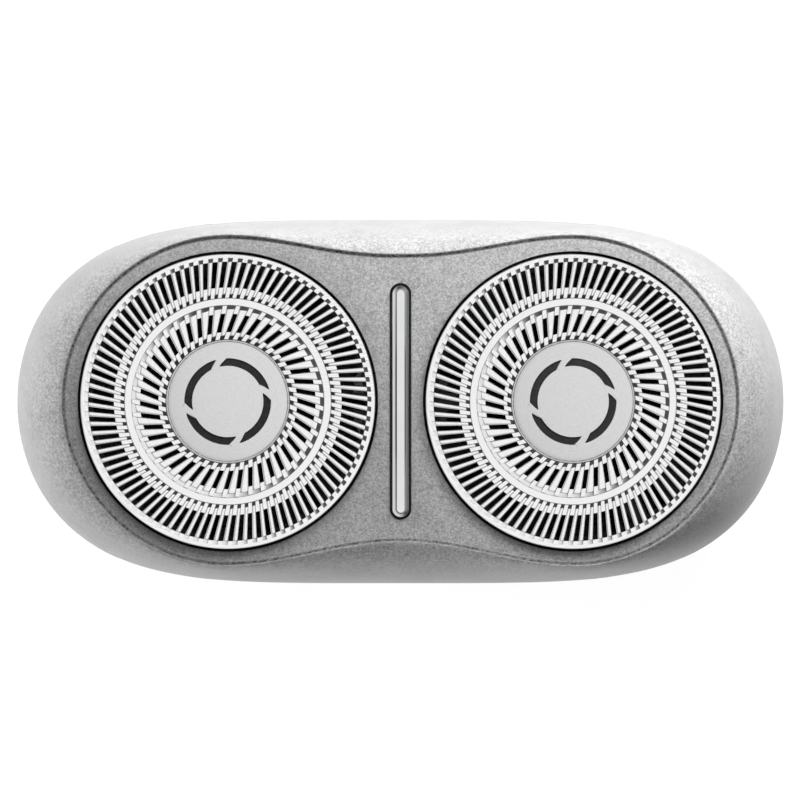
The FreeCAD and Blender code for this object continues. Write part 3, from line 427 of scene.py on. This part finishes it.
def placeMesh(name, vertices, faces, materials, faceMaterials=None, sharpAngle=35.0, ringPlaces=None,
              paintedCreaseShade=None):
    mesh = bpy.data.meshes.new(name)
    mesh.from_pydata([[c * mm for c in vertex] for vertex in vertices], [], faces)
    for material in materials:
        mesh.materials.append(material)
    if faceMaterials:
        mesh.polygons.foreach_set("material_index", faceMaterials)
    mesh.polygons.foreach_set("use_smooth", [True] * len(mesh.polygons))
    mesh.set_sharp_from_angle(angle=math.radians(sharpAngle))
    if ringPlaces:
        layer = mesh.attributes.new("ringPlace", "FLOAT_VECTOR", "POINT")
        layer.data.foreach_set("vector", [c for spot in ringPlaces for c in spot])
    # Painted shade of the lid's crease, as a weight per vertex
    if paintedCreaseShade:
        mesh.attributes.new("paintedCreaseShade", "FLOAT", "POINT").data.foreach_set("value", paintedCreaseShade)
    mesh.update()
    piece = bpy.data.objects.new(name, mesh)
    bpy.context.scene.collection.objects.link(piece)
    return piece


cornerSteps = 4


def roundedCorners(corners):  # profile with each corner, given with its radius, swung round an arc
    points = [Vector(corner[:2]) for corner in corners]
    result = []
    for k, (x, y, radius) in enumerate(corners):
        if radius == 0:
            result.append((x, y))
            continue
        inward = (points[k - 1] - points[k]).normalized()
        outward = (points[(k + 1) % len(points)] - points[k]).normalized()
        halfTurn = inward.angle(outward) / 2
        reach = radius / math.tan(halfTurn)
        start, end = points[k] + inward * reach, points[k] + outward * reach
        centre = points[k] + (inward + outward).normalized() * (radius / math.sin(halfTurn))
        for step in range(cornerSteps + 1):
            spoke = (start - centre).lerp(end - centre, step / cornerSteps).normalized() * radius
            result.append(tuple(centre + spoke))
    return result


class RingMesh:  # gathers turned and patterned surfaces about one head's axis
    def __init__(self):
        self.vertices, self.faces, self.materials, self.spots = [], [], [], []

    def add(self, radius, angle, height):
        self.vertices.append((radius * math.cos(angle), radius * math.sin(angle), height))
        self.spots.append((radius, radius * angle, height))
        return len(self.vertices) - 1

    def grid(self, rows, material=0, closed=False):  # closed rows of vertex numbers joined into quads
        for row, following in zip(rows, rows[1:] + rows[:1] if closed else rows[1:]):
            for corners in zip(row, following, following[1:] + following[:1], row[1:] + row[:1]):
                self.faces.append(corners)
                self.materials.append(material(corners) if callable(material) else material)

    def turn(self, profile, segments, material=0):
        rows = [[self.add(radius, math.tau * k / segments, height) for radius, height in profile]
                for k in range(segments)]
        self.grid(rows, material, closed=True)

    def build(self, name, headX, materials, **options):
        moved = [(x + headX, y, z) for x, y, z in self.vertices]
        return placeMesh(name, moved, self.faces, materials, self.materials, ringPlaces=self.spots, **options)


def loopQuads(first, second):  # faces between two closed loops of vertex numbers
    return list(zip(first, first[1:] + first[:1], second[1:] + second[:1], second))


class LoopMesh:  # gathers closed loops of points, each at one height
    def __init__(self):
        self.vertices, self.faces = [], []

    def add(self, points, height):
        self.vertices.extend((x, y, height) for x, y in points)
        return list(range(len(self.vertices) - len(points), len(self.vertices)))

    def join(self, loops):
        for first, second in zip(loops, loops[1:]):
            self.faces += loopQuads(first, second)


def racetrack(radius, half, steps):  # points round a slot with two round ends, along Y
    return [(radius * math.cos(angle), end * half + radius * math.sin(angle))
            for end, start in ((1, 0), (-1, math.pi))
            for angle in [math.pi * k / steps + start for k in range(steps + 1)]]


def circle(x, radius, steps):
    turns = [math.tau * k / steps for k in range(steps)]
    return [(x + radius * math.cos(turn), radius * math.sin(turn)) for turn in turns]


print("guards")
guard = {
    "innerTrack": (5.03, 7.80), "innerChannel": (5.64, 7.10),
    "outerTrack": (8.38, 11.64), "outerChannel": (9.25, 11.31),
    "stemHole": 0.92, "edge": 11.95, "flange": 12.5, "flangeHeights": (18.0, 18.4),
    "roof": 0.3, "underside": 19.55, "segments": 180,
    "tangentRadius": 1.87,  # the slots lean as tangents to a circle this large
    "sunkFoot": 0.01,  # how far the ribs' feet go below the ledge
    "shadeRise": 0.1,  # how far above the underside the painted shade goes
    "shadeMargin": 0.02,  # and how far past a channel
}
# A rib's profile along its length: the chamfer's reach, then distance from each end and share of the height
rib = {"chamfer": 0.34, "steps": 14, "lengthCrown": 0.07, "crownPower": 2.5}
ribEnd = [(0.0, 0.0), (rib["chamfer"] * 0.5, 0.5), (rib["chamfer"] - 0.03, 0.93), (rib["chamfer"], 0.975),
          (rib["chamfer"] + 0.04, 1.0)]
# Across a rib: share of its half-width and drop below the crown, in millimetres
ribCrown = [(-1.0, 0.10), (-0.97, 0.07), (-0.88, 0.042), (-0.66, 0.02), (-0.34, 0.006), (0.0, 0.0),
            (0.34, 0.006), (0.66, 0.02), (0.88, 0.042), (0.97, 0.07), (1.0, 0.10)]
# A slot is as wide as widths says at the two ends of its span; middle is the radius where it keeps its place
slotRows = {
    "inner": {"count": 45, "phase": -1.32, "middle": 6.415, "widths": (0.32, 0.32),
              "span": guard["innerTrack"]},
    "outer": {"count": 90, "phase": 0.21, "middle": 10.165, "widths": (0.28, 0.40),
              "span": (guard["outerTrack"][0], guard["edge"])},
}


def slotEdges(row, radius):  # angle of a slot's middle and of half its width, at one radius
    tangent = guard["tangentRadius"]
    along = (radius - row["span"][0]) / (row["span"][1] - row["span"][0])
    width = row["widths"][0] + (row["widths"][1] - row["widths"][0]) * along
    middle = math.acos(tangent / row["middle"]) - math.acos(tangent / radius)
    lean = math.asin(tangent / radius)
    return middle, width / 2 / radius / math.cos(lean)


def addRibs(ring, row, track, ledge, finish):
    inner, outer = track
    reach = ribEnd[-1][0]
    flat = outer - inner - 2 * reach
    stations = [(inner + step, lift) for step, lift in ribEnd]
    stations += [(inner + reach + flat * k / rib["steps"], 1.0) for k in range(1, rib["steps"])]
    stations += [(outer - step, lift) for step, lift in reversed(ribEnd)]
    pitch = math.tau / row["count"]
    for k in range(row["count"]):
        rows = []
        for radius, lift in stations:
            middle, half = slotEdges(row, radius)
            start = middle + half + math.radians(row["phase"]) + pitch * k
            end = middle - half + math.radians(row["phase"]) + pitch * (k + 1)
            centre, width = (start + end) / 2, (end - start) / 2
            along = (2 * radius - inner - outer) / (outer - inner)
            crown = guard["roof"] - rib["lengthCrown"] * abs(along) ** rib["crownPower"]
            line = [ring.add(radius, centre - width, ledge - guard["sunkFoot"])]
            line += [ring.add(radius, centre + width * share, ledge + (crown - drop) * lift)
                     for share, drop in ribCrown]
            line.append(ring.add(radius, centre + width, ledge - guard["sunkFoot"]))
            rows.append(line)
        ring.grid(rows[:3], 1)  # painted dark at the inner ends, as painted shade
        ring.grid(rows[2:], finish)


def makeGuard(side):
    ring = RingMesh()
    ledge = unit["guardTop"] - guard["roof"]
    floor, underside = unit["cupFloor"], guard["underside"]
    innerTrack, innerChannel = guard["innerTrack"], guard["innerChannel"]
    outerTrack, outerChannel = guard["outerTrack"], guard["outerChannel"]
    low, high = guard["flangeHeights"]
    margin = guard["shadeMargin"]

    def finish(corners):  # polished outside; painted dark as shade in the channels, under the ribs and below the groove
        radius = sum(ring.spots[k][0] for k in corners) / len(corners)
        height = sum(ring.spots[k][2] for k in corners) / len(corners)
        inChannel = any(start - margin < radius < end + margin for start, end in (innerChannel, outerChannel))
        return 1 if height < underside + guard["shadeRise"] or (inChannel and height < ledge) else 0

    # Corners as radius, height and rounding
    disc = [(guard["stemHole"], underside, 0), (innerChannel[0], underside, 0.05),
            (innerChannel[0], ledge, 0.03), (innerTrack[0], ledge, 0.05), (innerTrack[0], floor, 0.06),
            (guard["stemHole"], floor, 0)]
    groove = [(innerChannel[1], underside, 0.05), (outerChannel[0], underside, 0.05),
              (outerChannel[0], ledge, 0.03), (outerTrack[0], ledge, 0.06), (outerTrack[0], floor, 0.05),
              (innerTrack[1], floor, 0.05), (innerTrack[1], ledge, 0.06), (innerChannel[1], ledge, 0.03)]
    wall = [(outerChannel[1], low, 0.05), (guard["flange"], low, 0.08), (guard["flange"], high, 0.08),
            (guard["edge"], high, 0.1), (guard["edge"], ledge, 0.07), (outerChannel[1], ledge, 0.03)]
    for profile in (disc, groove, wall):
        ring.turn(roundedCorners(profile), guard["segments"], finish)
    addRibs(ring, slotRows["inner"], innerTrack, ledge, finish)
    addRibs(ring, slotRows["outer"], outerTrack, ledge, finish)
    piece = ring.build("slottedGuard" + side.capitalize(), sides[side] * unit["headX"],
                       [pressedSteel, shadeDarkenedSteel])
    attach(piece, "head_" + side)
    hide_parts("guard_" + side)


for side in sides:
    makeGuard(side)


print("caps")
cap = {
    "radius": 4.87, "edge": 0.06, "edgeSteps": 5, "columns": 288, "centreSteps": 8, "marginSteps": 4,
    "arcs": 4, "arcRadii": (2.92, 3.49), "arcDepth": 0.12, "arcWall": 0.035, "arcPhase": 14.7,
    "arcGap": 0.5, "gapSlant": 50.0, "gapColumns": 8, "endDrop": 0.15,  # share of the depth at an arc's end
    "stemRadius": 0.9, "stemLength": 2.3,
    "centreHole": 0.001, "stemHole": 0.01,  # too small to see, where the surface ends on the axis
}


def makeCap(side):
    ring = RingMesh()
    top, floor = unit["capTop"], unit["cupFloor"]
    inner, outer = cap["arcRadii"]
    middle = (inner + outer) / 2
    slant = math.tan(math.radians(cap["gapSlant"])) / middle
    gapHalf = cap["arcGap"] / 2 / math.cos(math.radians(cap["gapSlant"])) / middle
    quarter, gapColumns, wall = cap["columns"] // cap["arcs"], cap["gapColumns"], cap["arcWall"]
    # Angles of the columns over one gap and one arc: the gap's edges fall on columns 0 and gapColumns
    arcSpan = math.tau / cap["arcs"] - 2 * gapHalf
    steps = [-gapHalf + 2 * gapHalf * k / gapColumns for k in range(gapColumns)]
    steps += [gapHalf + arcSpan * k / (quarter - gapColumns) for k in range(quarter - gapColumns)]
    columns = [math.radians(cap["arcPhase"]) + math.tau * arc / cap["arcs"] + step
               for arc in range(cap["arcs"]) for step in steps]
    # Radius of each level and share of the arcs' depth there
    levels = [(cap["centreHole"], 0.0)]
    levels += [(inner * k / cap["centreSteps"], 0.0) for k in range(1, cap["centreSteps"])]
    levels += [(inner - wall, 0.0), (inner, 0.3), (inner + wall, 1.0), (middle, 1.0),
               (outer - wall, 1.0), (outer, 0.3), (outer + wall, 0.0)]
    levels += [(outer + (cap["radius"] - cap["edge"] - outer) * k / cap["marginSteps"], 0.0)
               for k in range(1, cap["marginSteps"] + 1)]
    rows = []
    for radius, sunk in levels:
        inBand = inner <= radius <= outer
        fade = 1.0 if inBand else max(0.0, 1.0 - abs(radius - middle) / (outer - inner))
        line = []
        for k, angle in enumerate(columns):
            if k % quarter in (0, gapColumns):
                drop = sunk * cap["endDrop"]
            else:
                drop = sunk if k % quarter > gapColumns else 0.0
            slanted = angle - slant * (radius - middle) * fade
            line.append(ring.add(radius, slanted, top - cap["arcDepth"] * drop))
        rows.append(line)
    edge = cap["edge"]
    turns = [math.pi / 2 * k / cap["edgeSteps"] for k in range(1, cap["edgeSteps"] + 1)]
    rim = [(cap["radius"] - edge + edge * math.sin(turn), top - edge + edge * math.cos(turn))
           for turn in turns]
    stemEnd = floor - cap["stemLength"]
    rim += [(cap["radius"], floor), (cap["stemRadius"], floor), (cap["stemRadius"], stemEnd),
            (cap["stemHole"], stemEnd)]
    rows += [[ring.add(radius, angle, height) for angle in columns] for radius, height in rim]
    for k in range(len(rows) - 1):
        inBand = k + 1 < len(levels) and inner <= levels[k][0] and levels[k + 1][0] <= outer
        ring.faces += loopQuads(rows[k + 1], rows[k])
        ring.materials += [1 if inBand and j % quarter >= gapColumns else 0 for j in range(len(columns))]
    piece = ring.build("turnedCap" + side.capitalize(), sides[side] * unit["headX"], [turnedSteel, arcEnamel])
    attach(piece, "head_" + side)
    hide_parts("cap_" + side)


for side in sides:
    makeCap(side)


print("lid")
lid = {
    "halfLength": 31.2, "halfWidth": 14.8, "outlinePower": 4.4,
    "faceRadius": 13.39, "neckHalfWidth": 11.77, "neckPower": 1.1,
    "parting": 11.0, "rimInset": -0.3, "columns": 480, "levels": 24,
    "opening": 12.17, "openingSteps": 288, "barSlot": (0.87, 8.72), "slotEndSteps": 24,
    "crestTurn": 80.0,  # degrees of arc up the flank: under 90 leaves a slope at the crest
}
# Across the crease, from the rim's crest down to the face
# The crease is painted dark as shade, darkest at the given share of the way and fading over the given width
crease = {"steps": 14, "width": 0.42, "shadeAt": 0.5, "shadeWidth": 0.34}
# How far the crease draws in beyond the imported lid's: all round, and on the lower side at heads and neck
drawIn = {
    "all": 0.15, "lowHeads": 0.17, "lowNeck": 0.42, "neckReach": 7.0,
    "neckEase": 0.6,  # share by which the draw-in all round lets up at the neck
    "lowSine": 0.35,  # sine of the angle below the middle from which the lower side's counts in full
    "flattest": 0.1,  # the least sine that the place along the neck is worked out with
}
# Down an opening's edge: step outward from the opening and depth below the face
edgeRoll = [(0.03, 0.0), (0.012, 0.006), (0.002, 0.02), (-0.004, 0.06)]
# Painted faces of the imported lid: above the face less this margin, and this near the flank's curve
paintedFaces = {"topMargin": 0.04, "flankFoot": 0.002, "flankReach": 0.35}
halvings = 34
meshWeld = 1e-6


def outlineEdge(x, inset):  # half-width of the unit's outline at x, moved in by inset
    share = min(abs(x) / (lid["halfLength"] - inset), 1.0)
    return (lid["halfWidth"] - inset) * math.sqrt(1.0 - share ** lid["outlinePower"])


def faceEdge(x, inset):  # half-width of the dog-bone face at x, moved in by inset
    radius = lid["faceRadius"] - inset
    along = abs(x)
    if along > unit["headX"]:
        return math.sqrt(max(radius ** 2 - (along - unit["headX"]) ** 2, 0.0))
    rise = math.sin(math.pi / 2 * (along / unit["headX"]) ** lid["neckPower"]) ** 2
    return lid["neckHalfWidth"] - inset + (lid["faceRadius"] - lid["neckHalfWidth"]) * rise


def edgeDistance(angle, edge, inset):  # from the centre to an edge in one direction, found by halving
    low, high = 0.0, 2 * lid["halfLength"]
    for _ in range(halvings):
        middle = (low + high) / 2
        if abs(middle * math.sin(angle)) < edge(middle * math.cos(angle), inset):
            low = middle
        else:
            high = middle
    return low


def creaseInset(angle, inset):  # inset of the face's edge in one direction, with what the crease draws in
    low = min(max(-math.sin(angle) / drawIn["lowSine"], 0.0), 1.0)
    low = low * low * (3 - 2 * low)
    across = lid["neckHalfWidth"] * math.cos(angle) / max(abs(math.sin(angle)), drawIn["flattest"])
    neck = math.exp(-(across / drawIn["neckReach"]) ** 2)
    allRound = drawIn["all"] * (1 - drawIn["neckEase"] * neck)
    return inset + allRound + low * (drawIn["lowHeads"] + drawIn["lowNeck"] * neck)


def makeLidSkin():
    shell = LoopMesh()
    angles = [math.tau * k / lid["columns"] for k in range(lid["columns"])]
    outer = [edgeDistance(angle, outlineEdge, 0.0) for angle in angles]
    inner = [edgeDistance(angle, faceEdge, creaseInset(angle, lid["rimInset"])) for angle in angles]

    def ringPoints(radii):
        return [(radius * math.cos(angle), radius * math.sin(angle)) for radius, angle in zip(radii, angles)]

    loops = []
    crest = math.radians(lid["crestTurn"])
    for k in range(lid["levels"] + 1):
        turn = crest * k / lid["levels"]
        share = (math.cos(turn) - math.cos(crest)) / (1 - math.cos(crest))
        rise = math.sin(turn) / math.sin(crest)
        radii = [a * share + b * (1 - share) for a, b in zip(outer, inner)]
        loops.append(shell.add(ringPoints(radii), lid["parting"] + (unit["rimTop"] - lid["parting"]) * rise))
    # Painted shade: each vertex carries how dark the crease is painted, nothing on the flank and the face
    paintedCreaseShade = [0.0] * len(shell.vertices)
    for k in range(1, crease["steps"] + 1):
        share = k / crease["steps"]
        inset = lid["rimInset"] + crease["width"] * share
        height = unit["rimTop"] - (unit["rimTop"] - unit["faceTop"]) * share ** 2 * (3 - 2 * share)
        radii = [edgeDistance(angle, faceEdge, creaseInset(angle, inset)) for angle in angles]
        loops.append(shell.add(ringPoints(radii), height))
        paintedCreaseShade += [math.exp(-((share - crease["shadeAt"]) / crease["shadeWidth"]) ** 4)] * len(angles)
    shell.join(loops)

    slotRadius, slotHalf = lid["barSlot"]
    holes = [lambda step: circle(unit["headX"], lid["opening"] + step, lid["openingSteps"]),
             lambda step: circle(-unit["headX"], lid["opening"] + step, lid["openingSteps"]),
             lambda step: racetrack(slotRadius + step, slotHalf, lid["slotEndSteps"])]
    boundary = [loops[-1]]
    for points in holes:
        rolled = [shell.add(points(step), unit["faceTop"] - depth) for step, depth in edgeRoll]
        shell.join(rolled)
        boundary.append(rolled[0])

    # The flat face: triangles between its edge and the three openings
    numbers = [number for loop in boundary for number in loop]
    edges, start = [], 0
    for loop in boundary:
        edges += [(start + k, start + (k + 1) % len(loop)) for k in range(len(loop))]
        start += len(loop)
    flat = [Vector(shell.vertices[number][:2]) for number in numbers]
    points, _, triangles, sources, _, _ = delaunay_2d_cdt(flat, edges, [], 0, meshWeld)
    for triangle in triangles:
        x, y = [sum(points[k][axis] for k in triangle) / 3 for axis in (0, 1)]
        inOpening = math.hypot(abs(x) - unit["headX"], y) < lid["opening"] + edgeRoll[0][0]
        inSlot = math.hypot(x, max(abs(y) - slotHalf, 0.0)) < slotRadius + edgeRoll[0][0]
        angle = math.atan2(y, x)
        edgeInset = creaseInset(angle, lid["rimInset"] + crease["width"])
        outside = math.hypot(x, y) > edgeDistance(angle, faceEdge, edgeInset)
        if not (inOpening or inSlot or outside):
            shell.faces.append(tuple(numbers[sources[k][0]] for k in triangle))
    paintedCreaseShade += [0.0] * (len(shell.vertices) - len(paintedCreaseShade))
    piece = placeMesh("lacqueredLidSkin", shell.vertices, shell.faces, [silverLacquer], sharpAngle=60.0,
                      paintedCreaseShade=paintedCreaseShade)
    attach(piece, "lid")
    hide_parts("lid_housing")


def makeLidMoulding():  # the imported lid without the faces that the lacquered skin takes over
    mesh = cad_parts["lid_housing"].data.copy()
    mesh.name = "unpaintedLidMoulding"
    shell = bmesh.new()
    shell.from_mesh(mesh)
    painted = []
    for face in shell.faces:
        x, y, z = face.calc_center_median() / mm
        angle = math.atan2(y, x)
        lift = (z - lid["parting"]) / (unit["rimTop"] - lid["parting"])
        underSkin = z > unit["faceTop"] - paintedFaces["topMargin"]
        if not underSkin and lift > paintedFaces["flankFoot"]:
            fold = 1 - math.sqrt(max(1 - lift ** 2, 0.0))
            flank = edgeDistance(angle, outlineEdge, 0.0) * (1 - fold)
            flank += edgeDistance(angle, faceEdge, lid["rimInset"]) * fold
            outward = face.normal.x * math.cos(angle) + face.normal.y * math.sin(angle)
            underSkin = abs(math.hypot(x, y) - flank) < paintedFaces["flankReach"] and outward > 0.0
        if underSkin:
            painted.append(face)
    bmesh.ops.delete(shell, geom=painted, context="FACES")
    shell.to_mesh(mesh)
    shell.free()
    mesh.materials.clear()
    mesh.materials.append(darkAbs)
    piece = bpy.data.objects.new("unpaintedLidMoulding", mesh)
    bpy.context.scene.collection.objects.link(piece)
    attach(piece, "lid")
    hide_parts("lid_housing")


makeLidSkin()
makeLidMoulding()


print("centre bar")
bar = {
    "width": 1.46, "length": 18.9, "top": 20.55, "bottom": 19.1, "endSteps": 16,
    "waist": 0.07,  # how far the visible part draws in from the foot that fills the pocket
    "footTop": (0.7, 0.35),  # where the drawing in starts and ends, below the bevel
    "bevel": (0.25, 0.13), "step": (0.09, 0.12),  # width and drop of the bevel and of the step above it
    "soft": 0.03, "footChamfer": 0.05,
}


def makeBar():
    half = (bar["length"] - bar["width"]) / 2
    foot = bar["width"] / 2
    flank = foot - bar["waist"]
    bevel = flank - bar["bevel"][0]
    crown = bevel - bar["step"][0]
    stepFoot = bar["top"] - bar["step"][1]
    shoulder = stepFoot - bar["bevel"][1]
    soft = bar["soft"]
    levels = [(foot - bar["footChamfer"], bar["bottom"]), (foot, bar["bottom"] + bar["footChamfer"]),
              (foot, shoulder - bar["footTop"][0]), (flank + 0.01, shoulder - bar["footTop"][1]),
              (flank, shoulder - soft), (flank - soft, shoulder + 0.3 * soft),
              (bevel + soft, stepFoot - 0.2 * soft), (bevel, stepFoot + 0.3 * soft),
              (crown + 0.5 * soft, bar["top"] - 0.6 * soft), (crown - soft, bar["top"])]
    shell = LoopMesh()
    loops = [shell.add(racetrack(radius, half, bar["endSteps"]), height) for radius, height in levels]
    shell.join(loops)
    shell.faces += [tuple(loops[-1]), tuple(reversed(loops[0]))]
    piece = placeMesh("chromeBar", shell.vertices, shell.faces, [brightChrome], sharpAngle=18.0)
    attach(piece, "lid")
    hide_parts("centre_bar")


makeBar()


print("neck ring")
neckRing = {"centreRadius": 8.15, "section": 0.6, "height": 2.2, "sectionSteps": 24, "segments": 128}


def makeNeckRing():
    ring = RingMesh()
    turns = [math.tau * k / neckRing["sectionSteps"] for k in range(neckRing["sectionSteps"])]
    section = [(neckRing["centreRadius"] + neckRing["section"] * math.cos(turn),
                neckRing["height"] + neckRing["section"] * math.sin(turn)) for turn in turns]
    ring.turn(section, neckRing["segments"])
    piece = ring.build("neckSealRing", 0.0, [nitrileRubber], sharpAngle=60.0)
    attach(piece, "base")
    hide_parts("neck_o_ring")


makeNeckRing()


print("coil springs")
coil = {
    "radius": 1.69, "wireRadius": 0.16, "foot": 10.31, "top": 13.79,
    "turns": 4, "stepsPerTurn": 28, "wireSteps": 10,
    "closing": 0.13,  # how far the end turns close up
    "travel": 1.2,
}


def makeCoil(side):
    ring = RingMesh()
    wire = coil["wireRadius"]
    low, high = coil["foot"] + wire, coil["top"] - wire
    steps = coil["turns"] * coil["stepsPerTurn"]
    headX = sides[side] * unit["headX"]
    wireTurns = [math.tau * k / coil["wireSteps"] for k in range(coil["wireSteps"])]
    rows = []
    for k in range(steps + 1):
        share = k / steps
        angle = math.tau * share * coil["turns"]
        height = low + (high - low) * (share - coil["closing"] * math.sin(math.tau * share))
        rows.append([ring.add(coil["radius"] + wire * math.cos(turn), angle, height + wire * math.sin(turn))
                     for turn in wireTurns])
    ring.grid(rows)
    ring.faces += [tuple(rows[0]), tuple(reversed(rows[-1]))]
    ring.materials += [0, 0]
    piece = ring.build("coilSpring" + side.capitalize(), headX, [platedSteel], sharpAngle=60.0)
    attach(piece, "wheel_" + side)
    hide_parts("spindle_spring_" + side)
    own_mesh(piece)


for side in sides:
    makeCoil(side)
